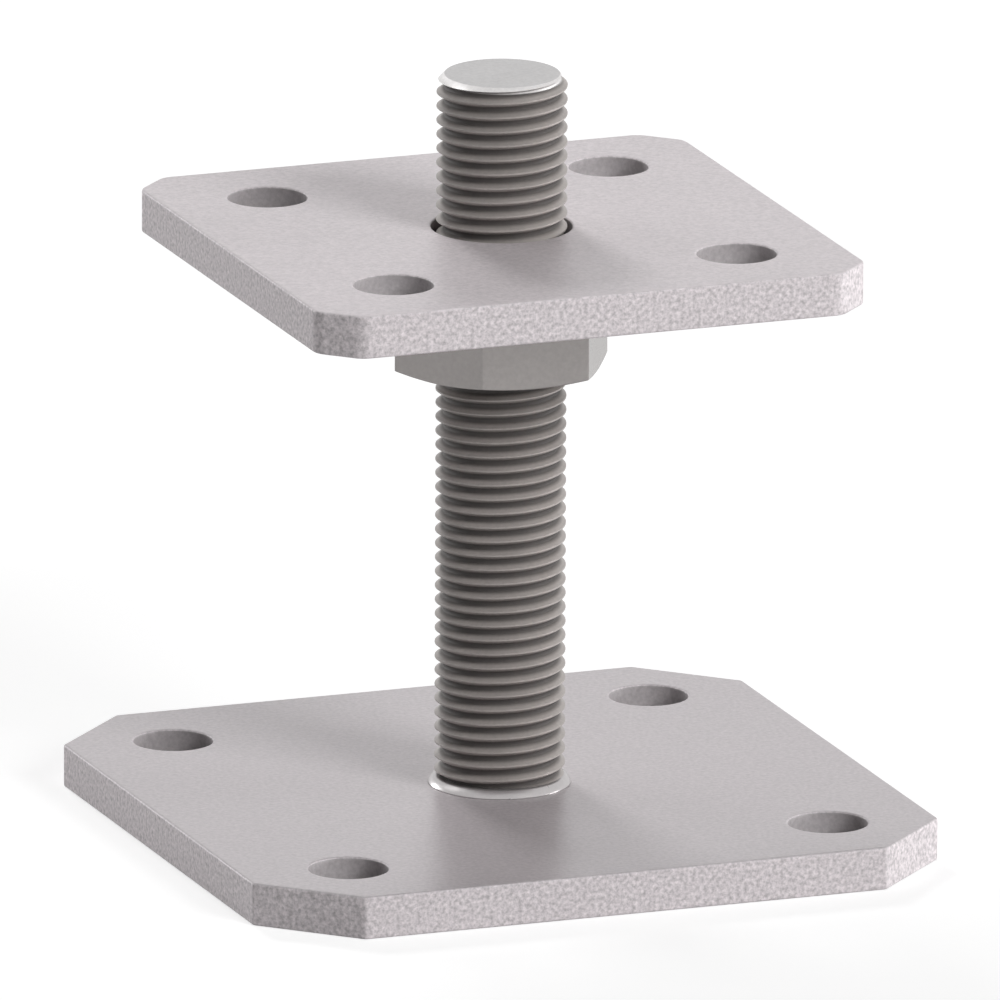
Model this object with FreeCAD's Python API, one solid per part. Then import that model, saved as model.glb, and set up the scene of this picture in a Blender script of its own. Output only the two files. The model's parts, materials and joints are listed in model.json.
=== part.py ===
import FreeCAD, Part
import math
import os

from FreeCAD import Vector

# Adjustable post base, in millimetres.
# The origin is the centre of the underside of the base plate, and +Z points up along the rod.

# Base plate, which is bolted to the concrete
base_side = 100.0
base_thickness = 6.0
base_corner_cut = 12.0
base_hole_diameter = 11.0
base_hole_spacing = 70.0

# Head plate, which is screwed to the foot of the post
head_side = 80.0
head_thickness = 6.0
head_corner_cut = 5.0
head_hole_diameter = 11.0
head_hole_spacing = 50.0

# Threaded rod. The solid is the cylinder over its thread crests.
thread_diameter = 18.0
rod_length = 100.5
rod_end_bevel = 1.1

# Weld round the foot of the rod
weld_width = 0.9
weld_height = 1.1
weld_crown = 0.12

# Hexagon nut
nut_across_flats = 27.0
nut_height = 14.0
nut_chamfer_angle = 15.0
nut_face_margin = 0.3
nut_countersink_angle = 60.0
nut_countersink_width = 0.6

# Clearances, each measured on the radius
rod_hole_clearance = 0.7
nut_thread_clearance = 0.1

# Broken edges of the plates
edge_break = 0.3

# The setting that is shown: the seat of the head plate on the nut, above the underside of the base
head_seat_height = 79.0

# Values that follow from the sizes above
rod_radius = thread_diameter / 2
rod_foot_height = base_thickness
rod_hole_radius = rod_radius + rod_hole_clearance
nut_bore_radius = rod_radius + nut_thread_clearance
nut_foot_height = head_seat_height - nut_height

axis = Vector(0, 0, 1)
origin = Vector(0, 0, 0)
full_turn = 360
hexagon_sides = 6


def profile_face(points):
    """Flat face in the XZ plane from (radius, height) pairs, ready to be revolved."""
    corners = [Vector(radius, 0, height) for radius, height in points]
    return Part.Face(Part.makePolygon(corners + corners[:1]))


def turned(points):
    """Solid turned about the rod's axis from a closed outline of (radius, height) pairs."""
    return profile_face(points).revolve(origin, axis, full_turn)


def cut_corner_outline(side, corner_cut, height):
    """Square outline with its four corners cut at 45 degrees, as a closed wire."""
    half = side / 2
    flat = half - corner_cut
    corners = [
        Vector(half, -flat, height),
        Vector(half, flat, height),
        Vector(flat, half, height),
        Vector(-flat, half, height),
        Vector(-half, flat, height),
        Vector(-half, -flat, height),
        Vector(-flat, -half, height),
        Vector(flat, -half, height),
    ]
    return Part.makePolygon(corners + corners[:1])


def broken_hole(radius, foot, thickness):
    """Cutter for a round hole through a plate, with both rims broken by the edge break."""
    top = foot + thickness
    return turned([
        (0, foot),
        (radius + edge_break, foot),
        (radius, foot + edge_break),
        (radius, top - edge_break),
        (radius + edge_break, top),
        (0, top),
    ])


def outer_edges(plate, foot, thickness):
    """The straight edges round the upper and lower faces of a bare plate."""
    levels = (foot, foot + thickness)
    return [
        edge
        for edge in plate.Edges
        if any(all(abs(vertex.Z - level) < edge_break for vertex in edge.Vertexes) for level in levels)
    ]


def drilled_plate(side, thickness, corner_cut, foot, hole_diameter, hole_spacing):
    """Square plate with cut corners, broken edges and a fixing hole near each corner."""
    blank = Part.Face(cut_corner_outline(side, corner_cut, foot)).extrude(axis * thickness)
    plate = blank.makeChamfer(edge_break, outer_edges(blank, foot, thickness))
    hole = broken_hole(hole_diameter / 2, foot, thickness)
    for side_x in (-1, 1):
        for side_y in (-1, 1):
            place = Vector(side_x * hole_spacing / 2, side_y * hole_spacing / 2, 0)
            plate = plate.cut(hole.translated(place))
    return plate


def make_base_plate():
    return drilled_plate(
        base_side, base_thickness, base_corner_cut, 0, base_hole_diameter, base_hole_spacing
    )


def make_head_plate():
    """The upper plate, with the clear hole for the rod through its centre."""
    plate = drilled_plate(
        head_side, head_thickness, head_corner_cut, head_seat_height, head_hole_diameter, head_hole_spacing
    )
    return plate.cut(broken_hole(rod_hole_radius, head_seat_height, head_thickness))


def make_threaded_rod():
    """Rod standing on the base plate, bevelled at its upper end."""
    top = rod_foot_height + rod_length
    return turned([
        (0, rod_foot_height),
        (rod_radius, rod_foot_height),
        (rod_radius, top - rod_end_bevel),
        (rod_radius - rod_end_bevel, top),
        (0, top),
    ])


def make_foot_weld():
    """Slightly crowned fillet weld that fills the corner between rod and base plate."""
    corner = Vector(rod_radius, 0, rod_foot_height)
    toe = corner + Vector(weld_width, 0, 0)
    shoulder = corner + Vector(0, 0, weld_height)
    slope = (shoulder - toe).normalize()
    crown = (toe + shoulder) * 0.5 + Vector(slope.z, 0, -slope.x) * weld_crown
    section = Part.Wire([
        Part.makeLine(corner, toe),
        Part.Arc(toe, crown, shoulder).toShape(),
        Part.makeLine(shoulder, corner),
    ])
    return Part.Face(section).revolve(origin, axis, full_turn)


def make_hexagon(across_flats, foot, height):
    """Upright hexagonal prism with a corner on the X axis."""
    corner_radius = across_flats / 2 / math.cos(math.pi / hexagon_sides)
    corners = []
    for number in range(hexagon_sides):
        angle = 2 * math.pi * number / hexagon_sides
        corners.append(Vector(corner_radius * math.cos(angle), corner_radius * math.sin(angle), foot))
    return Part.Face(Part.makePolygon(corners + corners[:1])).extrude(axis * height)


def make_adjusting_nut():
    """Hexagon nut, chamfered on both faces, with a countersunk bore over the thread."""
    foot = nut_foot_height
    top = foot + nut_height
    face_radius = nut_across_flats / 2 - nut_face_margin
    corner_radius = nut_across_flats / 2 / math.cos(math.pi / hexagon_sides)
    chamfer_drop = (corner_radius - face_radius) * math.tan(math.radians(nut_chamfer_angle))
    turned_blank = turned([
        (0, foot),
        (face_radius, foot),
        (corner_radius, foot + chamfer_drop),
        (corner_radius, top - chamfer_drop),
        (face_radius, top),
        (0, top),
    ])
    sink_radius = nut_bore_radius + nut_countersink_width
    sink_depth = nut_countersink_width / math.tan(math.radians(nut_countersink_angle))
    bore = turned([
        (0, foot),
        (sink_radius, foot),
        (nut_bore_radius, foot + sink_depth),
        (nut_bore_radius, top - sink_depth),
        (sink_radius, top),
        (0, top),
    ])
    return make_hexagon(nut_across_flats, foot, nut_height).common(turned_blank).cut(bore)


def main():
    os.makedirs("parts", exist_ok=True)
    pieces = {
        "base_plate": make_base_plate(),
        "threaded_rod": make_threaded_rod(),
        "foot_weld": make_foot_weld(),
        "adjusting_nut": make_adjusting_nut(),
        "head_plate": make_head_plate(),
    }
    for name, shape in pieces.items():
        shape.exportStep("parts/" + name + ".step")
        print(name, "solids", len(shape.Solids), "valid", shape.isValid(), "volume", round(shape.Volume, 2))


if __name__ == "__main__":
    main()
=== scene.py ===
import json
import math

import bmesh
import bpy
from mathutils import Matrix, Vector
from mathutils.geometry import tessellate_polygon


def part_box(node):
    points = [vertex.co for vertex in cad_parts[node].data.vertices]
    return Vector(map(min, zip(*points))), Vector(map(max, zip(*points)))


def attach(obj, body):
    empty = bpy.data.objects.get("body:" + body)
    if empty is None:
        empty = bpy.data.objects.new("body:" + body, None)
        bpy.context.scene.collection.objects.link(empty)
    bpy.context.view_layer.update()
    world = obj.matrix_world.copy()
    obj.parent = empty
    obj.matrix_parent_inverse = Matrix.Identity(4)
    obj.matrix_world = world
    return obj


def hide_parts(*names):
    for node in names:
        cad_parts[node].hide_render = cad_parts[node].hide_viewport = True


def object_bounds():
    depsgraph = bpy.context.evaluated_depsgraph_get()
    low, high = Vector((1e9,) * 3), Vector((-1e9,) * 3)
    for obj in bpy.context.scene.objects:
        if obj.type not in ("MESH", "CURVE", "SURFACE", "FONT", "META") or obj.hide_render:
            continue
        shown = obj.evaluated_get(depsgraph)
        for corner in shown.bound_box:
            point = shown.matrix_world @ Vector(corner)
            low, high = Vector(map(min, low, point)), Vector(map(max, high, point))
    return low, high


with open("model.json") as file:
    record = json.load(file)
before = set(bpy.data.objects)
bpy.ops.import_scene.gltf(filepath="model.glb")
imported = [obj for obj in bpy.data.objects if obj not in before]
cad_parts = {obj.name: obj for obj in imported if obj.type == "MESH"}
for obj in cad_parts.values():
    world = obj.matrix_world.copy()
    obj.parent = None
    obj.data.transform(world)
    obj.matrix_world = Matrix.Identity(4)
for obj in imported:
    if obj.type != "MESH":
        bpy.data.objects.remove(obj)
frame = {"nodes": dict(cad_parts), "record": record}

bl_info = {
    "name": "Adjustable post base",
    "version": (1, 0, 0),
    "blender": (4, 5, 0),
    "location": "View3D > Sidebar > Post base",
    "description": "Builds the plates, threaded rod, nut, weld and stage of an adjustable post base",
    "category": "Object",
}

MM = 0.001

THREAD_PITCH = 2.0 * MM
THREAD_DEPTH = 1.09 * MM
NUT_SIDES = 6

# Points of neighbouring turns of a thread that lie closer than this are one point
MERGE_DISTANCE = 0.001 * MM

# Width of the strips beside a rounded edge or corner, which let the flat faces next to it shade flat
PLATE_SHADING_STRIP = 0.15 * MM
NUT_SHADING_STRIP = 0.2 * MM
# Surfaces that turn more than this at an edge keep it sharp
SHARP_ANGLE = math.radians(34)

# Face attribute of the plates that marks the walls of their holes
BORE_MASK = "bore"
# A face whose normal rises less than this is upright
UPRIGHT_RISE = 0.5

cad_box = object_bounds()


def packed_mount(name):
    """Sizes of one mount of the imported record, in metres."""
    for mount in frame["record"]["mounts"]:
        if mount["name"] == name:
            return {key: value * MM for key, value in mount["dims"].items() if key.endswith("_mm")}
    raise RuntimeError("no mount named " + name)


def packed_points(node):
    """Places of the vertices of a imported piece."""
    return [vertex.co for vertex in frame["nodes"][node].data.vertices]


def packed_corner_cut(node):
    """Leg of the cut corners of a square plate."""
    side = 2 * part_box(node)[1].x
    return side - max(point.x + point.y for point in packed_points(node))


def packed_bore(node):
    """Radius of the hole round the rod's axis."""
    return min(math.hypot(point.x, point.y) for point in packed_points(node))


rod_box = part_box("threaded_rod")
nut_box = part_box("adjusting_nut")
weld_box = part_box("foot_weld")
crest_radius = rod_box[1].x
rod_foot = rod_box[0].z
rod_top = rod_box[1].z
nut_flat_radius = nut_box[1].y
nut_bore = packed_bore("adjusting_nut")


# Sizes and colours that a user would change


class PlateSettings(bpy.types.PropertyGroup):
    edge_radius: bpy.props.FloatProperty(
        name="Edge radius",
        description="Rounding of the plate's outer edges and hole rims",
        default=0.3 * MM, min=0.05 * MM, unit="LENGTH", precision=5,
    )
    base_corner_radius: bpy.props.FloatProperty(
        name="Base corner radius",
        description="Rounding of the base plate's upright corners at the ends of each corner cut",
        default=0.8 * MM, min=0.5 * MM, unit="LENGTH", precision=5,
    )
    head_corner_radius: bpy.props.FloatProperty(
        name="Head corner radius",
        description="Rounding of the head plate's upright corners at the ends of each corner cut",
        default=3.0 * MM, min=0.5 * MM, unit="LENGTH", precision=5,
    )
    edge_steps: bpy.props.IntProperty(
        name="Edge steps", description="Faces across a rounded edge", default=4, min=2,
    )
    hole_segments: bpy.props.IntProperty(
        name="Hole segments", description="Faces round a hole", default=96, min=24,
    )


class ThreadSettings(bpy.types.PropertyGroup):
    pitch: bpy.props.FloatProperty(
        name="Pitch", description="Rise of the thread in one turn",
        default=THREAD_PITCH, min=0.5 * MM, unit="LENGTH", precision=5,
    )
    depth: bpy.props.FloatProperty(
        name="Depth", description="Depth of the thread from crest to root",
        default=THREAD_DEPTH, min=0.1 * MM, unit="LENGTH", precision=5,
    )
    end_bevel: bpy.props.FloatProperty(
        name="End bevel", description="Leg of the bevel at the rod's upper end",
        default=1.1 * MM, min=0.0, unit="LENGTH", precision=5,
    )
    turn_segments: bpy.props.IntProperty(
        name="Segments in a turn", description="Faces round one turn", default=80, min=24,
    )
    pitch_steps: bpy.props.IntProperty(
        name="Steps in a pitch", description="Faces across one pitch", default=20, min=10,
    )


class NutSettings(bpy.types.PropertyGroup):
    corner_radius: bpy.props.FloatProperty(
        name="Corner radius", description="Rounding of the six upright corners",
        default=0.35 * MM, min=0.1 * MM, unit="LENGTH", precision=5,
    )
    edge_radius: bpy.props.FloatProperty(
        name="Edge radius", description="Rounding where a chamfer meets the flats",
        default=0.15 * MM, min=0.05 * MM, unit="LENGTH", precision=5,
    )
    face_margin: bpy.props.FloatProperty(
        name="Face margin", description="How far the flat end face stays inside the flats",
        default=0.3 * MM, min=0.2 * MM, unit="LENGTH", precision=5,
    )
    chamfer_angle: bpy.props.FloatProperty(
        name="Chamfer angle", description="Slope of the chamfer on both end faces",
        default=math.radians(15), min=math.radians(5), max=math.radians(45), subtype="ANGLE",
    )
    countersink_angle: bpy.props.FloatProperty(
        name="Countersink angle", description="Slope of the countersinks against the axis",
        default=math.radians(60), min=math.radians(20), max=math.radians(75), subtype="ANGLE",
    )
    countersink_width: bpy.props.FloatProperty(
        name="Countersink width", description="Width of the countersink outside the thread",
        default=0.6 * MM, min=0.0, unit="LENGTH", precision=5,
    )


class WeldSettings(bpy.types.PropertyGroup):
    crown: bpy.props.FloatProperty(
        name="Crown", description="Rise of the bead over the straight line from toe to shoulder",
        default=0.1 * MM, min=0.0, unit="LENGTH", precision=5,
    )
    ripple: bpy.props.FloatProperty(
        name="Ripple", description="Height of the ripples along the bead",
        default=0.003 * MM, min=0.0, unit="LENGTH", precision=6,
    )
    ripple_count: bpy.props.IntProperty(
        name="Ripples", description="Ripples round the bead", default=44, min=1,
    )
    root_depth: bpy.props.FloatProperty(
        name="Root depth", description="How far the bead reaches into the thread grooves",
        default=1.3 * MM, min=0.0, unit="LENGTH", precision=5,
    )


class FinishSettings(bpy.types.PropertyGroup):
    # Painted light: both plates are one zinc, but the head plate's colour is paler than the base plate's,
    # standing in for the stronger light on the head plate and the shade it casts on the base plate.
    base_colour: bpy.props.FloatVectorProperty(
        name="Base plate", description="Satin zinc of the base plate",
        default=(0.57, 0.529, 0.545), min=0.0, max=1.0, subtype="COLOR",
    )
    head_colour_painted_light: bpy.props.FloatVectorProperty(
        name="Head plate", description="Satin zinc of the head plate, a little paler",
        default=(0.79, 0.734, 0.754), min=0.0, max=1.0, subtype="COLOR",
    )
    # Painted light: the upright cut edges get a colour of their own, set against the level faces' colour for
    # how the lamps light them; their coarser grain is real.
    edge_colour_painted_light: bpy.props.FloatVectorProperty(
        name="Plate edges", description="Paler grain of the cut edges of both plates",
        default=(0.735, 0.683, 0.702), min=0.0, max=1.0, subtype="COLOR",
    )
    base_roughness: bpy.props.FloatProperty(
        name="Base plate roughness", description="Roughness of the base plate's level faces",
        default=0.33, min=0.05, max=1.0,
    )
    head_roughness: bpy.props.FloatProperty(
        name="Head plate roughness", description="Roughness of the head plate's level faces",
        default=0.43, min=0.05, max=1.0,
    )
    # Painted shade: the walls of the holes get a darker colour for the shade inside them.
    bore_colour_painted_shade: bpy.props.FloatVectorProperty(
        name="Hole walls", description="Darker zinc in the holes of both plates",
        default=(0.49, 0.462, 0.471), min=0.0, max=1.0, subtype="COLOR",
    )
    # Colour of the thread's crests and flanks; painted shade darkens it towards the root of the grooves.
    crest_colour: bpy.props.FloatVectorProperty(
        name="Thread crests", description="Rubbed metal on the crests of the thread",
        default=(0.425, 0.391, 0.372), min=0.0, max=1.0, subtype="COLOR",
    )
    # Painted shade: darker colour towards the root of the thread, in the rod's grooves and inside the nut's
    # thread.
    groove_colour_painted_shade: bpy.props.FloatVectorProperty(
        name="Thread grooves", description="Darker metal at the root of the thread",
        default=(0.075, 0.068, 0.065), min=0.0, max=1.0, subtype="COLOR",
    )
    end_colour: bpy.props.FloatVectorProperty(
        name="Rod end", description="Sawn upper end of the rod",
        default=(0.565, 0.555, 0.555), min=0.0, max=1.0, subtype="COLOR",
    )
    # Painted highlight: the turned bevel is bare metal, painted brighter than the sawn end face to stand for
    # the light it catches.
    bevel_colour_painted_highlight: bpy.props.FloatVectorProperty(
        name="Rod bevel", description="Bright turned bevel at the rod's upper end",
        default=(0.72, 0.705, 0.70), min=0.0, max=1.0, subtype="COLOR",
    )
    nut_colour: bpy.props.FloatVectorProperty(
        name="Nut", description="Satin steel of the nut",
        default=(0.36, 0.34, 0.33), min=0.0, max=1.0, subtype="COLOR",
    )
    weld_colour: bpy.props.FloatVectorProperty(
        name="Weld", description="Bright metal of the weld bead",
        default=(0.50, 0.48, 0.48), min=0.0, max=1.0, subtype="COLOR",
    )


class StageSettings(bpy.types.PropertyGroup):
    floor_size: bpy.props.FloatProperty(
        name="Floor size", description="Side of the square floor",
        default=6.0, min=1.0, unit="LENGTH",
    )
    floor_colour: bpy.props.FloatVectorProperty(
        name="Floor", description="Pale floor under the object",
        default=(0.48, 0.48, 0.48), min=0.0, max=1.0, subtype="COLOR",
    )
    floor_lift: bpy.props.FloatProperty(
        name="Floor lift", description="Added brightness that carries the floor to white",
        default=0.71, min=0.0, max=1.0,
    )
    room_light: bpy.props.FloatProperty(
        name="Room light", description="Level of the even light from all sides",
        default=0.0, min=0.0, max=2.0,
    )


class PostBaseSettings(bpy.types.PropertyGroup):
    plates: bpy.props.PointerProperty(type=PlateSettings)
    thread: bpy.props.PointerProperty(type=ThreadSettings)
    nut: bpy.props.PointerProperty(type=NutSettings)
    weld: bpy.props.PointerProperty(type=WeldSettings)
    finish: bpy.props.PointerProperty(type=FinishSettings)
    stage: bpy.props.PointerProperty(type=StageSettings)


# Node trees


def place(tree, kind, inputs=None, **settings):
    """Adds a node, sets its settings, and fills or links its inputs by name or number."""
    node = tree.nodes.new(kind)
    for name, value in settings.items():
        setattr(node, name, value)
    for key, value in (inputs or {}).items():
        if isinstance(value, bpy.types.NodeSocket):
            tree.links.new(value, node.inputs[key])
        else:
            node.inputs[key].default_value = value
    return node


def calc(tree, operation, *values):
    """Output of a Math node on the given values or sockets."""
    return place(tree, "ShaderNodeMath", dict(enumerate(values)), operation=operation).outputs[0]


def blend_colour(tree, factor, first, second):
    """Output of a colour Mix node, whose factor and two colours are its inputs 0, 6 and 7."""
    return place(tree, "ShaderNodeMix", {0: factor, 6: first, 7: second}, data_type="RGBA").outputs[2]


def open_tree(name, kind, inputs, outputs):
    """New node group with named sockets. Gives the tree, its input sockets and its output node."""
    tree = bpy.data.node_groups.new(name, kind)
    for label, socket_type, default in inputs:
        socket = tree.interface.new_socket(label, in_out="INPUT", socket_type=socket_type)
        if default is not None:
            socket.default_value = default
    for label, socket_type in outputs:
        tree.interface.new_socket(label, in_out="OUTPUT", socket_type=socket_type)
    return tree, tree.nodes.new("NodeGroupInput").outputs, tree.nodes.new("NodeGroupOutput")


def thread_tree():
    """Geometry Nodes tree that lays a fine grid along a helix and gives it the section of a metric thread."""
    tree, given, result = open_tree(
        "helical_thread",
        "GeometryNodeTree",
        [
            ("Turns", "NodeSocketInt", 50),
            ("Segments in a Turn", "NodeSocketInt", 80),
            ("Steps in a Pitch", "NodeSocketInt", 20),
            ("Pitch", "NodeSocketFloat", THREAD_PITCH),
            ("Crest Radius", "NodeSocketFloat", crest_radius),
            ("Root Radius", "NodeSocketFloat", crest_radius - THREAD_DEPTH),
            ("Start Height", "NodeSocketFloat", 0.0),
            ("Merge Distance", "NodeSocketFloat", MERGE_DISTANCE),
            ("Material", "NodeSocketMaterial", None),
        ],
        [("Geometry", "NodeSocketGeometry")],
    )
    turns = given["Turns"]
    columns = calc(tree, "MULTIPLY_ADD", turns, given["Segments in a Turn"], 1.0)
    rows = calc(tree, "ADD", given["Steps in a Pitch"], 1.0)
    grid = place(
        tree, "GeometryNodeMeshGrid",
        {"Size X": turns, "Size Y": 1.0, "Vertices X": columns, "Vertices Y": rows},
    )
    position = tree.nodes.new("GeometryNodeInputPosition").outputs[0]
    on_grid = place(tree, "ShaderNodeSeparateXYZ", {0: position})
    turn = calc(tree, "MULTIPLY_ADD", turns, 0.5, on_grid.outputs["X"])
    share = calc(tree, "ADD", on_grid.outputs["Y"], 0.5)
    angle = calc(tree, "MULTIPLY", turn, math.tau)
    height = calc(tree, "MULTIPLY_ADD", calc(tree, "ADD", turn, share), given["Pitch"], given["Start Height"])
    from_crest = calc(tree, "ABSOLUTE", calc(tree, "MULTIPLY_ADD", share, 2.0, -1.0))
    section = place(tree, "ShaderNodeFloatCurve", {"Value": from_crest})
    draw_section(section.mapping)
    reach = calc(tree, "SUBTRACT", given["Crest Radius"], given["Root Radius"])
    radius = calc(tree, "MULTIPLY_ADD", section.outputs[0], reach, given["Root Radius"])
    point = place(
        tree, "ShaderNodeCombineXYZ",
        {
            "X": calc(tree, "MULTIPLY", radius, calc(tree, "COSINE", angle)),
            "Y": calc(tree, "MULTIPLY", radius, calc(tree, "SINE", angle)),
            "Z": height,
        },
    )
    wound = place(
        tree, "GeometryNodeSetPosition",
        {"Geometry": grid.outputs["Mesh"], "Position": point.outputs[0]},
    )
    joined = place(
        tree, "GeometryNodeMergeByDistance",
        {"Geometry": wound.outputs[0], "Distance": given["Merge Distance"]},
    )
    real = place(tree, "GeometryNodeRealizeInstances", {"Geometry": joined.outputs[0]})
    painted = place(
        tree, "GeometryNodeSetMaterial",
        {"Geometry": real.outputs[0], "Material": given["Material"]},
    )
    tree.links.new(painted.outputs[0], result.inputs[0])
    return tree


def draw_section(mapping):
    """Half of the thread's section: narrow crest, flank of 30 degrees, rounded root.

    The curve runs from the middle of a crest to the middle of a groove, and falls from crest to root radius.
    """
    curve = mapping.curves[0]
    curve.points[0].location = (0.0, 1.0)
    curve.points[1].location = (1.0, 0.0)
    for share, level in ((0.1, 0.99), (0.2, 0.875), (0.7, 0.08), (0.8, 0.02), (0.9, 0.005)):
        curve.points.new(share, level)
    for point in curve.points:
        point.handle_type = "VECTOR"
    mapping.update()


def zinc_texture_group():
    """Shader group for the cloudy, finely speckled look of plated or galvanised steel."""
    tree, given, result = open_tree(
        "zinc_texture",
        "ShaderNodeTree",
        [
            ("Vector", "NodeSocketVector", None),
            ("Colour", "NodeSocketColor", (0.6, 0.6, 0.6, 1.0)),
            ("Cloud Scale", "NodeSocketFloat", 60.0),
            ("Cloud Amount", "NodeSocketFloat", 0.06),
            ("Speckle Scale", "NodeSocketFloat", 1400.0),
            ("Speckle Amount", "NodeSocketFloat", 0.08),
            ("Roughness", "NodeSocketFloat", 0.4),
            ("Roughness Spread", "NodeSocketFloat", 0.08),
        ],
        [("Colour", "NodeSocketColor"), ("Roughness", "NodeSocketFloat"), ("Height", "NodeSocketFloat")],
    )
    clouds = place(
        tree, "ShaderNodeTexNoise",
        {"Vector": given["Vector"], "Scale": given["Cloud Scale"], "Detail": 3.0, "Roughness": 0.55},
    ).outputs[0]
    speckles = place(
        tree, "ShaderNodeTexNoise",
        {"Vector": given["Vector"], "Scale": given["Speckle Scale"], "Detail": 2.0, "Roughness": 0.6},
    ).outputs[0]
    cloud = calc(tree, "MULTIPLY", calc(tree, "MULTIPLY_ADD", clouds, 2.0, -1.0), given["Cloud Amount"])
    speckle = calc(tree, "MULTIPLY", calc(tree, "MULTIPLY_ADD", speckles, 2.0, -1.0), given["Speckle Amount"])
    level = calc(tree, "ADD", calc(tree, "ADD", cloud, speckle), 1.0)
    tinted = place(
        tree, "ShaderNodeVectorMath", {0: given["Colour"], "Scale": level}, operation="SCALE",
    ).outputs[0]
    spread = calc(tree, "SUBTRACT", clouds, 0.5)
    roughness = calc(tree, "MULTIPLY_ADD", spread, given["Roughness Spread"], given["Roughness"])
    tree.links.new(tinted, result.inputs["Colour"])
    tree.links.new(roughness, result.inputs["Roughness"])
    tree.links.new(speckles, result.inputs["Height"])
    return tree


def thread_depth_group():
    """Shader group that tells how deep a point lies in the thread: 0 on the crest, 1 at the root."""
    tree, given, result = open_tree(
        "thread_depth",
        "ShaderNodeTree",
        [
            ("Vector", "NodeSocketVector", None),
            ("Crest Radius", "NodeSocketFloat", crest_radius),
            ("Root Radius", "NodeSocketFloat", crest_radius - THREAD_DEPTH),
        ],
        [("Depth", "NodeSocketFloat")],
    )
    parts = place(tree, "ShaderNodeSeparateXYZ", {0: given["Vector"]})
    squares = calc(
        tree, "ADD",
        calc(tree, "MULTIPLY", parts.outputs[0], parts.outputs[0]),
        calc(tree, "MULTIPLY", parts.outputs[1], parts.outputs[1]),
    )
    depth = place(
        tree, "ShaderNodeMapRange",
        {
            "Value": calc(tree, "SQRT", squares),
            "From Min": given["Crest Radius"],
            "From Max": given["Root Radius"],
        },
        clamp=True,
    )
    tree.links.new(depth.outputs[0], result.inputs[0])
    return tree


def shared_group(name, builder):
    """Node group of this name, built on its first use."""
    return bpy.data.node_groups.get(name) or builder()


def open_material(name, metallic):
    """New node material. Gives the material, its tree, its Principled node and its Object coordinates."""
    material = bpy.data.materials.new(name)
    material.use_nodes = True
    tree = material.node_tree
    shader = tree.nodes["Principled BSDF"]
    shader.inputs["Metallic"].default_value = metallic
    where = tree.nodes.new("ShaderNodeTexCoord").outputs["Object"]
    return material, tree, shader, where


def textured_finish(tree, shader, where, colour, bump, **values):
    """Feeds a Principled node from the zinc texture group."""
    group = place(tree, "ShaderNodeGroup", node_tree=shared_group("zinc_texture", zinc_texture_group))
    tree.links.new(where, group.inputs["Vector"])
    if isinstance(colour, bpy.types.NodeSocket):
        tree.links.new(colour, group.inputs["Colour"])
    else:
        group.inputs["Colour"].default_value = (*colour, 1.0)
    for label, value in values.items():
        socket = group.inputs[label.replace("_", " ").title()]
        if isinstance(value, bpy.types.NodeSocket):
            tree.links.new(value, socket)
        else:
            socket.default_value = value
    tree.links.new(group.outputs["Colour"], shader.inputs["Base Color"])
    tree.links.new(group.outputs["Roughness"], shader.inputs["Roughness"])
    relief = place(
        tree, "ShaderNodeBump",
        {"Height": group.outputs["Height"], "Strength": 1.0, "Distance": bump},
    )
    tree.links.new(relief.outputs[0], shader.inputs["Normal"])


def upward_mask(tree):
    """1 on level faces and 0 on upright ones, with a soft change over the rounded edges."""
    upright_below, level_above = 0.3, 0.9
    normal = tree.nodes.new("ShaderNodeNewGeometry").outputs["Normal"]
    rise = place(tree, "ShaderNodeSeparateXYZ", {0: normal}).outputs[2]
    level = place(
        tree, "ShaderNodeMapRange",
        {"Value": calc(tree, "ABSOLUTE", rise), "From Min": upright_below, "From Max": level_above},
        clamp=True,
    )
    return level.outputs[0]


def plate_value(tree, level, bore, on_edge, on_top, in_bore):
    """Value that differs between the cut edges, the level faces and the walls of the holes."""
    outside = calc(tree, "MULTIPLY_ADD", level, on_top - on_edge, on_edge)
    return calc(tree, "MULTIPLY_ADD", calc(tree, "SUBTRACT", in_bore, outside), bore, outside)


def plate_finish(name, colour, roughness, finish):
    """Satin galvanised plate, with grainier cut edges, colours set apart by which way its faces turn, and
    painted shade on the walls of its holes.
    """
    material, tree, shader, where = open_material(name, 0.0)
    plate_metallic = 0.15
    bore = place(tree, "ShaderNodeAttribute", attribute_name=BORE_MASK).outputs["Fac"]
    level = upward_mask(tree)
    metallic = calc(tree, "MULTIPLY_ADD", bore, -plate_metallic, plate_metallic)
    tree.links.new(metallic, shader.inputs["Metallic"])
    # Painted light: the upright edges and the level faces take different colours by which way they face.
    zinc = blend_colour(tree, level, (*finish.edge_colour_painted_light, 1.0), (*colour, 1.0))
    # Painted shade on the walls of the holes.
    zinc = blend_colour(tree, bore, zinc, (*finish.bore_colour_painted_shade, 1.0))
    textured_finish(
        tree, shader, where, zinc, bump=0.02 * MM,
        cloud_scale=45.0, cloud_amount=0.06, speckle_scale=1700.0,
        speckle_amount=plate_value(tree, level, bore, on_edge=0.75, on_top=0.25, in_bore=0.3),
        roughness=plate_value(tree, level, bore, on_edge=0.55, on_top=roughness, in_bore=0.5),
        roughness_spread=0.12,
    )
    return material


def height_mask(tree, height, start, end):
    """0 below the start and 1 above the end."""
    mask = place(
        tree, "ShaderNodeMapRange",
        {"Value": height, "From Min": start, "From Max": end},
        clamp=True,
    )
    return mask.outputs[0]


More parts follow.
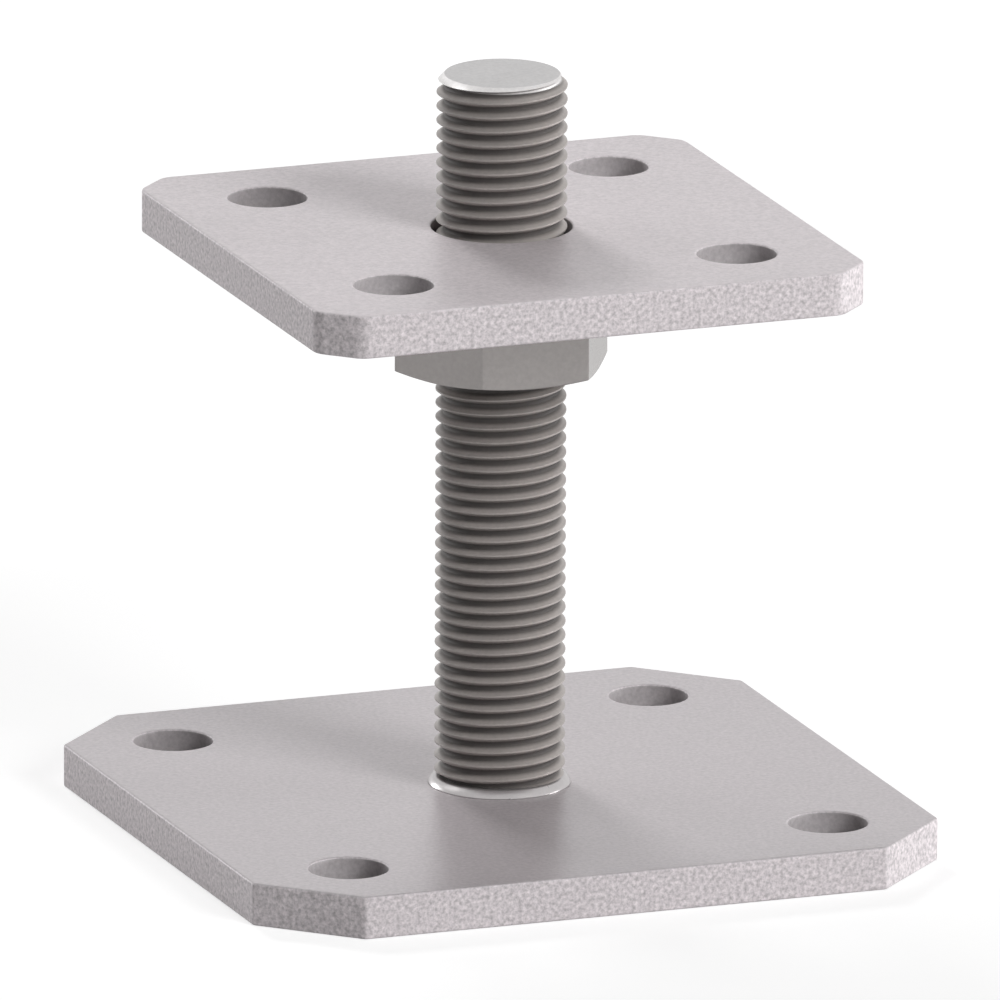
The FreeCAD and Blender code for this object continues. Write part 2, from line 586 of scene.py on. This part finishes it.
def rod_finish(finish, thread):
    """Dark plated thread, with painted shade darkening it towards the root of its grooves, and a bright bare
    cut end whose bevel carries a painted highlight.
    """
    material, tree, shader, where = open_material("threaded_rod_finish", 0.0)
    thread_metallic, end_metallic = 0.1, 0.85
    crest_roughness, groove_roughness, end_smoothing = 0.40, 0.65, 0.14
    # Depth share at which the painted shade in the grooves begins.
    groove_start = 0.4
    depth = place(
        tree, "ShaderNodeGroup",
        {"Vector": where, "Crest Radius": crest_radius, "Root Radius": crest_radius - thread.depth},
        node_tree=shared_group("thread_depth", thread_depth_group),
    ).outputs[0]
    # Painted shade: the colour darkens from the crest colour towards the root of the grooves.
    groove = place(
        tree, "ShaderNodeMapRange", {"Value": depth, "From Min": groove_start}, clamp=True,
    ).outputs[0]
    steel = blend_colour(tree, groove, (*finish.crest_colour, 1.0), (*finish.groove_colour_painted_shade, 1.0))
    # The bare end, whose bevel carries a painted highlight, starts at the foot of the bevel, and the sawn
    # face starts just under its upper rim
    height = place(tree, "ShaderNodeSeparateXYZ", {0: where}).outputs[2]
    bevel = thread.end_bevel
    cut_end = height_mask(tree, height, rod_top - bevel, rod_top - 0.85 * bevel)
    sawn_face = height_mask(tree, height, rod_top - 0.05 * bevel, rod_top - 0.02 * bevel)
    bright = blend_colour(tree, sawn_face, (*finish.bevel_colour_painted_highlight, 1.0), (*finish.end_colour, 1.0))
    steel = blend_colour(tree, cut_end, steel, bright)
    metallic = calc(tree, "MULTIPLY_ADD", cut_end, end_metallic - thread_metallic, thread_metallic)
    tree.links.new(metallic, shader.inputs["Metallic"])
    worn = calc(tree, "MULTIPLY_ADD", groove, groove_roughness - crest_roughness, crest_roughness)
    roughness = calc(tree, "MULTIPLY_ADD", cut_end, -end_smoothing, worn)
    textured_finish(
        tree, shader, where, steel, bump=0.006 * MM,
        cloud_scale=120.0, cloud_amount=0.12, speckle_scale=1800.0, speckle_amount=0.15,
        roughness=roughness, roughness_spread=0.12,
    )
    return material


def nut_finish(finish, thread):
    """Satin plated nut, with painted shade darkening the inside of its thread."""
    material, tree, shader, where = open_material("nut_finish", 0.55)
    mouth_radius = nut_bore + 0.4 * MM
    depth = place(
        tree, "ShaderNodeGroup",
        {"Vector": where, "Crest Radius": mouth_radius, "Root Radius": nut_bore - thread.depth},
        node_tree=shared_group("thread_depth", thread_depth_group),
    ).outputs[0]
    # Painted shade: darker towards the root of the nut's thread.
    steel = blend_colour(tree, depth, (*finish.nut_colour, 1.0), (*finish.groove_colour_painted_shade, 1.0))
    textured_finish(
        tree, shader, where, steel, bump=0.008 * MM,
        cloud_scale=90.0, cloud_amount=0.08, speckle_scale=1500.0, speckle_amount=0.12,
        roughness=0.26, roughness_spread=0.08,
    )
    return material


def weld_finish(finish):
    """Bright, smooth weld metal."""
    material, tree, shader, where = open_material("weld_finish", 0.65)
    textured_finish(
        tree, shader, where, finish.weld_colour, bump=0.004 * MM,
        cloud_scale=200.0, cloud_amount=0.12, speckle_scale=2500.0, speckle_amount=0.08,
        roughness=0.28, roughness_spread=0.06,
    )
    return material


# Mesh tools


def finished_object(name, mesh):
    """New object for a mesh, with smooth faces, at the origin."""
    mesh.shade_smooth()
    piece = bpy.data.objects.new(name, mesh)
    bpy.context.scene.collection.objects.link(piece)
    return piece


def mesh_from(name, form):
    """Closes a bmesh into a mesh whose faces point outwards."""
    bmesh.ops.recalc_face_normals(form, faces=form.faces)
    mesh = bpy.data.meshes.new(name)
    form.to_mesh(mesh)
    form.free()
    return mesh


def join_rings(form, rings, closed=False):
    """Quads between successive rings of vertices."""
    pairs = list(zip(rings, rings[1:]))
    if closed:
        pairs.append((rings[-1], rings[0]))
    for upper, lower in pairs:
        count = len(upper)
        for number in range(count):
            after = (number + 1) % count
            form.faces.new((upper[number], upper[after], lower[after], lower[number]))


def ring_of(form, points, height):
    """Ring of vertices at one height."""
    return [form.verts.new((point.x, point.y, height)) for point in points]


def rounded_polygon(corners, radius, steps, strip, fill=0):
    """Points and outward directions round a convex outline with rounded corners.

    Each straight side gets a point one strip away from both of its arcs, so that it shades flat, and as many
    more points between those two as fill says.
    """
    outline = []
    count = len(corners)
    for number, corner in enumerate(corners):
        arriving = (corner - corners[number - 1]).normalized()
        leaving = (corners[(number + 1) % count] - corner).normalized()
        first = Vector((arriving.y, -arriving.x))
        last = Vector((leaving.y, -leaving.x))
        centre = corner - (first + last) * radius / (1 + first.dot(last))
        turn = first.angle(last)
        start = math.atan2(first.y, first.x)
        outline.append((centre + first * radius - arriving * strip, first))
        for step in range(steps + 1):
            angle = start + turn * step / steps
            outward = Vector((math.cos(angle), math.sin(angle)))
            outline.append((centre + outward * radius, outward))
        straight_start = centre + last * radius + leaving * strip
        outline.append((straight_start, last))
        if fill:
            next_corner = corners[(number + 1) % count]
            after = (corners[(number + 2) % count] - next_corner).normalized()
            next_out = Vector((after.y, -after.x))
            next_centre = next_corner - (last + next_out) * radius / (1 + last.dot(next_out))
            straight_end = next_centre + last * radius - leaving * strip
            for step in range(1, fill + 1):
                outline.append((straight_start.lerp(straight_end, step / (fill + 1)), last))
    return outline


def circle_outline(centre, radius, segments):
    """Points round a hole, with directions that point into the hole."""
    outline = []
    for number in range(segments):
        angle = math.tau * number / segments
        inward = Vector((-math.cos(angle), -math.sin(angle)))
        outline.append((centre - inward * radius, inward))
    return outline


def edge_rows(foot, top, radius, steps, strip):
    """(inset, height) pairs from the upper flat, over both rounded edges, to the lower flat."""
    rows = [(radius + strip, top)]
    for step in range(steps + 1):
        angle = math.pi / 2 * step / steps
        rows.append((radius * (1 - math.sin(angle)), top - radius * (1 - math.cos(angle))))
    rows.append((0.0, top - radius - strip))
    mirrored = [(inset, foot + top - height) for inset, height in reversed(rows)]
    return rows + mirrored


def turned_form(profile, segments):
    """Closed bmesh turned about the upright axis. The (radius, height) pairs start and end on the axis."""
    form = bmesh.new()
    first = form.verts.new((0.0, 0.0, profile[0][1]))
    last = form.verts.new((0.0, 0.0, profile[-1][1]))
    rings = []
    for radius, height in profile[1:-1]:
        rings.append([
            form.verts.new((
                radius * math.cos(math.tau * number / segments),
                radius * math.sin(math.tau * number / segments),
                height,
            ))
            for number in range(segments)
        ])
    join_rings(form, rings)
    for pole, ring in ((first, rings[0]), (last, rings[-1])):
        for number in range(segments):
            form.faces.new((pole, ring[number], ring[(number + 1) % segments]))
    return form


def apply_modifiers(piece):
    """Turns the evaluated piece into a plain mesh and takes its modifiers off."""
    depsgraph = bpy.context.evaluated_depsgraph_get()
    mesh = bpy.data.meshes.new_from_object(piece.evaluated_get(depsgraph), depsgraph=depsgraph)
    piece.modifiers.clear()
    piece.data = mesh


def combine(piece, tool, operation, solver):
    """Cuts a piece with a tool, or keeps what both share, and removes the tool."""
    step = piece.modifiers.new(operation.lower(), "BOOLEAN")
    step.operation = operation
    step.solver = solver
    step.object = tool
    apply_modifiers(piece)
    bpy.data.objects.remove(tool)


def thread_blank(name, thread, crest, root, foot, top, material):
    """Solid thread that runs past foot and top, always in phase with the rod's thread."""
    tree = shared_group("helical_thread", thread_tree)
    piece = finished_object(name, bpy.data.meshes.new(name))
    winding = piece.modifiers.new("thread", "NODES")
    winding.node_group = tree
    first_turn = math.floor((foot - rod_foot) / thread.pitch) - 2
    last_turn = math.ceil((top - rod_foot) / thread.pitch) + 1
    values = {
        "Turns": last_turn - first_turn,
        "Segments in a Turn": thread.turn_segments,
        "Steps in a Pitch": thread.pitch_steps,
        "Pitch": thread.pitch,
        "Crest Radius": crest,
        "Root Radius": root,
        "Start Height": rod_foot + first_turn * thread.pitch,
        "Merge Distance": MERGE_DISTANCE,
        "Material": material,
    }
    for socket in tree.interface.items_tree:
        if socket.in_out == "INPUT":
            winding[socket.identifier] = values[socket.name]
    apply_modifiers(piece)
    close_ends(piece.data)
    return piece


def close_ends(mesh):
    """Closes the two open ends of a wound thread with a fan to its axis."""
    form = bmesh.new()
    form.from_mesh(mesh)
    open_edges = [edge for edge in form.edges if edge.is_boundary]
    middle = sum(vertex.co.z for edge in open_edges for vertex in edge.verts) / (2 * len(open_edges))
    for end in (-1, 1):
        edges = [edge for edge in open_edges if (edge.verts[0].co.z - middle) * end > 0]
        level = max(vertex.co.z * end for edge in edges for vertex in edge.verts) * end
        pole = form.verts.new((0.0, 0.0, level))
        for edge in edges:
            form.faces.new((*edge.verts, pole))
    bmesh.ops.recalc_face_normals(form, faces=form.faces)
    form.to_mesh(mesh)
    form.free()


def single_material(piece, material):
    """Leaves one material on every face of a piece."""
    piece.data.materials.clear()
    piece.data.materials.append(material)
    piece.data.polygons.foreach_set("material_index", [0] * len(piece.data.polygons))
    piece.data.update()


def shade_with_edges(piece):
    """Smooth faces, with sharp edges where the surface turns more than the sharp angle."""
    piece.data.shade_smooth()
    piece.data.set_sharp_from_angle(angle=SHARP_ANGLE)


def settle(piece, body, node):
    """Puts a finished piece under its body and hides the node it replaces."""
    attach(piece, body)
    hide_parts(node)


# Pieces


def build_plate(name, node, hole_mount, plates, corner_radius, centre_hole):
    """Square plate with cut corners, rounded edges, four fixing holes and, if given, a centre hole."""
    low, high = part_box(node)
    half = high.x
    flat = half - packed_corner_cut(node)
    strip = PLATE_SHADING_STRIP
    corners = [
        Vector((half, -flat)), Vector((half, flat)), Vector((flat, half)), Vector((-flat, half)),
        Vector((-half, flat)), Vector((-half, -flat)), Vector((-flat, -half)), Vector((flat, -half)),
    ]
    outlines = [rounded_polygon(corners, corner_radius, 2 * plates.edge_steps, strip)]
    fixings = packed_mount(hole_mount)
    holes = []
    for side_x in (-1, 1):
        for side_y in (-1, 1):
            centre = Vector((side_x * fixings["spacing_x_mm"] / 2, side_y * fixings["spacing_y_mm"] / 2))
            holes.append((centre, fixings["hole_r_mm"]))
    if centre_hole:
        holes.append((Vector((0.0, 0.0)), centre_hole))
    outlines += [circle_outline(centre, radius, plates.hole_segments) for centre, radius in holes]
    rows = edge_rows(low.z, high.z, plates.edge_radius, plates.edge_steps, strip)
    form = bmesh.new()
    upper_rims = []
    lower_rims = []
    for outline in outlines:
        rings = []
        for inset, height in rows:
            rings.append(ring_of(form, [point - outward * inset for point, outward in outline], height))
        join_rings(form, rings)
        upper_rims.append(rings[0])
        lower_rims.append(rings[-1])
    for rims in (upper_rims, lower_rims):
        vertices = [vertex for rim in rims for vertex in rim]
        for triangle in tessellate_polygon([[vertex.co for vertex in rim] for rim in rims]):
            form.faces.new([vertices[index] for index in triangle])
    mesh = mesh_from(name, form)
    mark_bores(mesh, holes, plates.edge_radius)
    return finished_object(name, mesh)


def mark_bores(mesh, holes, edge_radius):
    """Face attribute that is 1 on the upright walls of the holes and 0 elsewhere."""
    mask = mesh.attributes.new(BORE_MASK, "FLOAT", "FACE")
    for face, value in zip(mesh.polygons, mask.data):
        upright = abs(face.normal.z) < UPRIGHT_RISE
        inside = any((face.center.xy - centre).length < radius + edge_radius for centre, radius in holes)
        value.value = 1.0 if upright and inside else 0.0


def build_rod(thread, material):
    """Right-hand threaded rod, cut square at its foot and bevelled at its upper end."""
    piece = thread_blank(
        "rod_with_thread", thread, crest_radius, crest_radius - thread.depth, rod_foot, rod_top, material,
    )
    spare = 0.5 * MM
    bevel_start = rod_top - thread.end_bevel - spare
    envelope = turned_form(
        [
            (0.0, rod_foot),
            (crest_radius + spare, rod_foot),
            (crest_radius + spare, bevel_start),
            (crest_radius - thread.end_bevel, rod_top),
            (0.0, rod_top),
        ],
        2 * thread.turn_segments,
    )
    tool = finished_object("rod_envelope", mesh_from("rod_envelope", envelope))
    combine(piece, tool, "INTERSECT", "MANIFOLD")
    single_material(piece, material)
    shade_with_edges(piece)
    return piece


def hexagon_form(nut, foot, top):
    """Closed bmesh of the nut without its bore: a hexagon with rounded corners and chamfered ends."""
    strip = NUT_SHADING_STRIP
    corner_steps = 5
    flat_steps = 22
    bend_steps = 3
    corner_distance = nut_flat_radius / math.cos(math.pi / NUT_SIDES)
    corners = []
    for number in range(NUT_SIDES):
        angle = math.tau * number / NUT_SIDES
        corners.append(Vector((corner_distance * math.cos(angle), corner_distance * math.sin(angle))))
    outline = rounded_polygon(corners, nut.corner_radius, corner_steps, strip, fill=flat_steps)
    face_radius = nut_flat_radius - nut.face_margin
    slope = math.tan(nut.chamfer_angle)
    edge = nut.edge_radius

    def drop(point):
        """How far the chamfer lies below the end face at this point."""
        return (point.length - face_radius) * slope

    columns = []
    for point, outward in outline:
        inner = point - outward * edge
        start = (inner, drop(inner))
        bend = (point, drop(point))
        end = (point, drop(point) + edge)
        column = [
            (point.normalized() * (face_radius - strip), 0.0),
            (point.normalized() * face_radius, 0.0),
        ]
        for step in range(bend_steps + 1):
            share = step / bend_steps
            place_on_curve = start[0].lerp(bend[0], share).lerp(bend[0].lerp(end[0], share), share)
            near = start[1] + (bend[1] - start[1]) * share
            far = bend[1] + (end[1] - bend[1]) * share
            column.append((place_on_curve, near + (far - near) * share))
        column.append((point, end[1] + strip))
        columns.append(column)
    form = bmesh.new()
    rings = []
    for row in range(len(columns[0])):
        rings.append([form.verts.new((*column[row][0], top - column[row][1])) for column in columns])
    for row in reversed(range(len(columns[0]))):
        rings.append([form.verts.new((*column[row][0], foot + column[row][1])) for column in columns])
    join_rings(form, rings)
    form.faces.new(rings[0])
    form.faces.new(rings[-1])
    return form


def build_nut(nut, thread, material):
    """Hexagon nut with a thread that fits the rod's, countersunk on both faces."""
    low, high = nut_box
    blank = hexagon_form(nut, low.z, high.z)
    piece = finished_object("nut_with_thread", mesh_from("nut_with_thread", blank))
    clearance = nut_bore - crest_radius
    cutter_root = crest_radius - thread.depth + clearance
    cutter = thread_blank("nut_thread_cutter", thread, nut_bore, cutter_root, low.z, high.z, material)
    combine(piece, cutter, "DIFFERENCE", "EXACT")
    sink_radius = nut_bore + nut.countersink_width
    root_radius = crest_radius - thread.depth - clearance
    spare = 1.0 * MM
    run = math.tan(nut.countersink_angle)
    for face, way in ((high.z, 1), (low.z, -1)):
        cone = turned_form(
            [
                (0.0, face + way * spare),
                (sink_radius + spare * run, face + way * spare),
                (root_radius, face - way * (sink_radius - root_radius) / run),
                (0.0, face - way * (sink_radius - root_radius) / run),
            ],
            2 * thread.turn_segments,
        )
        tool = finished_object("countersink", mesh_from("countersink", cone))
        combine(piece, tool, "DIFFERENCE", "EXACT")
    single_material(piece, material)
    shade_with_edges(piece)
    return piece


def build_weld(weld):
    """Crowned bead with faint ripples, which fills the thread grooves at the rod's foot."""
    low, high = weld_box
    toe = Vector((high.x, low.z))
    shoulder = Vector((crest_radius, high.z))
    slope = (shoulder - toe).normalized()
    outward = Vector((slope.y, -slope.x))
    root = crest_radius - weld.root_depth
    steps = 8
    segments_in_ripple = 12
    segments = segments_in_ripple * weld.ripple_count
    form = bmesh.new()
    rings = []
    for number in range(segments):
        angle = math.tau * number / segments
        lift = weld.crown + weld.ripple * math.cos(weld.ripple_count * angle)
        section = [Vector((root, low.z)), toe]
        for step in range(1, steps):
            share = step / steps
            section.append(toe.lerp(shoulder, share) + outward * lift * 4 * share * (1 - share))
        section += [shoulder, Vector((root, high.z))]
        rings.append([
            form.verts.new((point.x * math.cos(angle), point.x * math.sin(angle), point.y))
            for point in section
        ])
    join_rings(form, rings, closed=True)
    return finished_object("weld_bead", mesh_from("weld_bead", form))


# Operators


class POSTBASE_OT_plates(bpy.types.Operator):
    """Builds the galvanised base plate and head plate"""

    bl_idname = "post_base.plates"
    bl_label = "Build plates"

    def execute(self, context):
        settings = context.scene.post_base
        finish = settings.finish
        plates = settings.plates
        base = build_plate(
            "base_plate_galvanised", "base_plate", "anchor_holes", plates, plates.base_corner_radius, None,
        )
        head = build_plate(
            "head_plate_galvanised", "head_plate", "post_screw_holes", plates, plates.head_corner_radius,
            packed_bore("head_plate"),
        )
        base_finish = plate_finish("base_plate_finish", finish.base_colour, finish.base_roughness, finish)
        # The head plate's paler colour is painted light.
        head_finish = plate_finish("head_plate_finish", finish.head_colour_painted_light, finish.head_roughness, finish)
        single_material(base, base_finish)
        single_material(head, head_finish)
        settle(base, "base", "base_plate")
        settle(head, "head", "head_plate")
        return {"FINISHED"}


class POSTBASE_OT_rod(bpy.types.Operator):
    """Builds the threaded rod"""

    bl_idname = "post_base.rod"
    bl_label = "Build threaded rod"

    def execute(self, context):
        settings = context.scene.post_base
        rod = build_rod(settings.thread, rod_finish(settings.finish, settings.thread))
        settle(rod, "base", "threaded_rod")
        return {"FINISHED"}


class POSTBASE_OT_nut(bpy.types.Operator):
    """Builds the adjusting nut, threaded to fit the rod"""

    bl_idname = "post_base.nut"
    bl_label = "Build adjusting nut"

    def execute(self, context):
        settings = context.scene.post_base
        nut = build_nut(settings.nut, settings.thread, nut_finish(settings.finish, settings.thread))
        settle(nut, "nut", "adjusting_nut")
        return {"FINISHED"}


class POSTBASE_OT_weld(bpy.types.Operator):
    """Builds the weld bead round the foot of the rod"""

    bl_idname = "post_base.weld"
    bl_label = "Build foot weld"

    def execute(self, context):
        settings = context.scene.post_base
        weld = build_weld(settings.weld)
        single_material(weld, weld_finish(settings.finish))
        settle(weld, "base", "foot_weld")
        return {"FINISHED"}


class POSTBASE_OT_stage(bpy.types.Operator):
    """Builds the floor, the lamps and the camera"""

    bl_idname = "post_base.stage"
    bl_label = "Build stage"

    def execute(self, context):
        stage = context.scene.post_base.stage
        build_floor(stage)
        light_room(context.scene, stage)
        for lamp in LAMPS:
            hang_lamp(*lamp)
        aim_camera(context.scene)
        return {"FINISHED"}


class VIEW3D_PT_post_base(bpy.types.Panel):
    """Lists the sizes, colours and steps of the post base"""

    bl_label = "Post base"
    bl_idname = "VIEW3D_PT_post_base"
    bl_space_type = "VIEW_3D"
    bl_region_type = "UI"
    bl_category = "Post base"

    def draw(self, context):
        settings = context.scene.post_base
        for group in (
            settings.plates, settings.thread, settings.nut, settings.weld, settings.finish, settings.stage,
        ):
            box = self.layout.box()
            for name in group.__annotations__:
                box.prop(group, name)
        for operator in OPERATORS:
            self.layout.operator(operator.bl_idname)


# Stage


# Azimuth and elevation of each lamp in degrees, its distance and size in metres, its power in watts, and
# whether it shines in glossy surfaces. The key and rear lamps don't, since their glare would whiten the
# plates as seen from the opposite side.
LAMPS = (
    ("key_lamp", 25.0, 28.0, 1.4, 0.6, 13.2, False),
    ("right_lamp", 76.0, 5.0, 1.4, 0.3, 6.2, True),
    ("rear_lamp", 181.0, 36.0, 1.4, 0.3, 8.2, False),
    ("left_lamp", -148.0, 9.0, 1.4, 0.4, 4.7, True),
    ("rim_lamp", -128.0, 42.0, 1.4, 0.5, 1.0, True),
)
# Azimuth, elevation and roll in degrees, distance in metres, lens and sensor in millimetres. The camera aims
# at a point given by its distance to the right of the rod's axis and its height.
CAMERA_AZIMUTH = -20.431
CAMERA_ELEVATION = 15.047
CAMERA_ROLL = 0.214
CAMERA_DISTANCE = 6.286
CAMERA_LENS = 1649.0
CAMERA_SENSOR = 36.0
CAMERA_AIM = (-0.077 * MM, 45.97 * MM)
# Gap between the floor and the underside of the base
FLOOR_GAP = 0.02 * MM
# How far inside the base plate's outline the floor's painted shade begins
COVER_MARGIN = 1.0 * MM


def direction(azimuth, elevation):
    """Direction from the object towards a place at this azimuth and elevation, in degrees."""
    turn, rise = math.radians(azimuth), math.radians(elevation)
    return Vector((math.sin(turn) * math.cos(rise), -math.cos(turn) * math.cos(rise), math.sin(rise)))


def seen_directly(tree):
    """1 for camera, glossy and transmission rays, and 0 for the rays that light the object."""
    path = tree.nodes.new("ShaderNodeLightPath")
    seen = calc(tree, "MAXIMUM", path.outputs["Is Camera Ray"], path.outputs["Is Glossy Ray"])
    return calc(tree, "MAXIMUM", seen, path.outputs["Is Transmission Ray"])


def build_floor(stage):
    """Pale floor that keeps the object's shadow and is white in full light; under the base its lift is left
    out, a painted shade that shows through the holes.
    """
    reach = stage.floor_size / 2
    corners = [(-reach, -reach, 0), (reach, -reach, 0), (reach, reach, 0), (-reach, reach, 0)]
    mesh = bpy.data.meshes.new("floor")
    mesh.from_pydata(corners, [], [(0, 1, 2, 3)])
    floor = bpy.data.objects.new("floor", mesh)
    bpy.context.scene.collection.objects.link(floor)
    floor.location.z = -FLOOR_GAP
    material, tree, shader, where = open_material("floor_finish", 0.0)
    shader.inputs["Base Color"].default_value = (*stage.floor_colour, 1.0)
    shader.inputs["Roughness"].default_value = 0.9
    shader.inputs["Specular IOR Level"].default_value = 0.0
    shader.inputs["Emission Color"].default_value = (1.0, 1.0, 1.0, 1.0)
    parts = place(tree, "ShaderNodeSeparateXYZ", {0: where})
    across, along = (calc(tree, "ABSOLUTE", parts.outputs[number]) for number in (0, 1))
    half = cad_box[1][0]
    past_side = calc(tree, "GREATER_THAN", calc(tree, "MAXIMUM", across, along), half - COVER_MARGIN)
    cut_reach = 2 * half - packed_corner_cut("base_plate") - 2 * COVER_MARGIN
    past_cut = calc(tree, "GREATER_THAN", calc(tree, "ADD", across, along), cut_reach)
    # Painted shade: the lift is left out under the base plate.
    uncovered = calc(tree, "MAXIMUM", past_side, past_cut)
    lift = calc(tree, "MULTIPLY", calc(tree, "MULTIPLY", seen_directly(tree), uncovered), stage.floor_lift)
    tree.links.new(lift, shader.inputs["Emission Strength"])
    floor.data.materials.append(material)


def light_room(scene, stage):
    """Even white surroundings, seen as white and lighting the object at the room level."""
    world = bpy.data.worlds.new("room")
    world.use_nodes = True
    scene.world = world
    tree = world.node_tree
    background = tree.nodes["Background"]
    background.inputs["Color"].default_value = (1.0, 1.0, 1.0, 1.0)
    seen = seen_directly(tree)
    level = calc(tree, "MULTIPLY_ADD", seen, 1.0 - stage.room_light, stage.room_light)
    tree.links.new(level, background.inputs["Strength"])


def hang_lamp(name, azimuth, elevation, distance, size, power, glossy):
    """Square soft lamp that points at the middle of the object."""
    data = bpy.data.lights.new(name, "AREA")
    data.shape = "SQUARE"
    data.size = size
    data.energy = power
    lamp = bpy.data.objects.new(name, data)
    lamp.visible_glossy = glossy
    bpy.context.scene.collection.objects.link(lamp)
    towards = direction(azimuth, elevation)
    lamp.location = Vector((0.0, 0.0, CAMERA_AIM[1])) + towards * distance
    lamp.rotation_euler = towards.to_track_quat("Z", "Y").to_euler()


def aim_camera(scene):
    """Long lens at the photograph's viewing angle, for a frame of 1000 by 1000 pixels."""
    data = bpy.data.cameras.new("camera")
    data.lens = CAMERA_LENS
    data.sensor_width = CAMERA_SENSOR
    data.clip_start = 1.0
    data.clip_end = 100.0
    camera = bpy.data.objects.new("camera", data)
    scene.collection.objects.link(camera)
    back = direction(CAMERA_AZIMUTH, CAMERA_ELEVATION)
    right = Vector((0.0, 0.0, 1.0)).cross(back).normalized()
    aim = right * CAMERA_AIM[0] + Vector((0.0, 0.0, CAMERA_AIM[1]))
    turn = back.to_track_quat("Z", "Y").to_matrix() @ Matrix.Rotation(math.radians(CAMERA_ROLL), 3, "Z")
    camera.location = aim + back * CAMERA_DISTANCE
    camera.rotation_euler = turn.to_euler()
    scene.camera = camera


# Registration


SETTINGS = (
    PlateSettings, ThreadSettings, NutSettings, WeldSettings, FinishSettings, StageSettings, PostBaseSettings,
)
OPERATORS = (
    POSTBASE_OT_plates, POSTBASE_OT_rod, POSTBASE_OT_nut, POSTBASE_OT_weld, POSTBASE_OT_stage,
)


def register():
    for cls in (*SETTINGS, *OPERATORS, VIEW3D_PT_post_base):
        bpy.utils.register_class(cls)
    bpy.types.Scene.post_base = bpy.props.PointerProperty(type=PostBaseSettings)


def unregister():
    del bpy.types.Scene.post_base
    for cls in reversed((*SETTINGS, *OPERATORS, VIEW3D_PT_post_base)):
        bpy.utils.unregister_class(cls)


def main():
    register()
    bpy.context.scene.view_settings.view_transform = "Standard"
    bpy.ops.post_base.plates()
    bpy.ops.post_base.rod()
    bpy.ops.post_base.nut()
    bpy.ops.post_base.weld()
    bpy.ops.post_base.stage()


if __name__ == "__main__":
    main()
